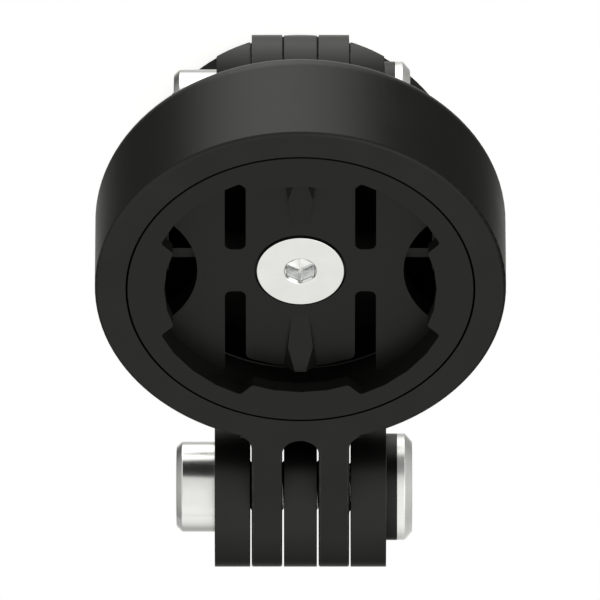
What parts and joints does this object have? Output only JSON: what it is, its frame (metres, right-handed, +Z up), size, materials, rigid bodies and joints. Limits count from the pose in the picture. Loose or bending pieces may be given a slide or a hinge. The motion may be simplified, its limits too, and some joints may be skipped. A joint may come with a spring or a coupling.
{
  "type": "bicycle computer mount",
  "caption": "Tilting mount for a bicycle computer: a round bayonet receiver on a short link with two clamped finger hinges, standing on a round cap.",
  "frame": {"origin": "centre of the cap bore where it leaves the cap's flat underside", "axes": "+Z up, out of the cap along its bore; +Y forward, from the cap's centre towards its hinge; +X along both hinge bolts, from head to nut"},
  "size_m": [0.0382, 0.0499, 0.0534],
  "materials": {
    "black_metal": "satin black anodised",
    "black_plastic": "fine matt moulded",
    "stainless": "turned and polished stainless steel"
  },
  "bodies": {
    "base": {"base_cap": "black_metal", "base_hinge_bolt": "stainless", "base_hinge_nut": "stainless"},
    "link": {"link_arm": "black_metal", "link_hinge_bolt": "stainless", "link_hinge_nut": "stainless"},
    "receiver": {"receiver_body": "black_metal", "bayonet_insert": "black_plastic", "insert_screw": "stainless"}
  },
  "joints": [
    {"name": "base_hinge", "type": "hinge", "parent": "base", "child": "link", "pos_m": [0, 0.0085, 0.015], "axis": [-1, 0, 0], "range_deg": [-8, 172]},
    {"name": "receiver_hinge", "type": "hinge", "parent": "link", "child": "receiver", "pos_m": [0, -0.0264, 0.015], "axis": [1, 0, 0], "range_deg": [-5, 230]}
  ]
}
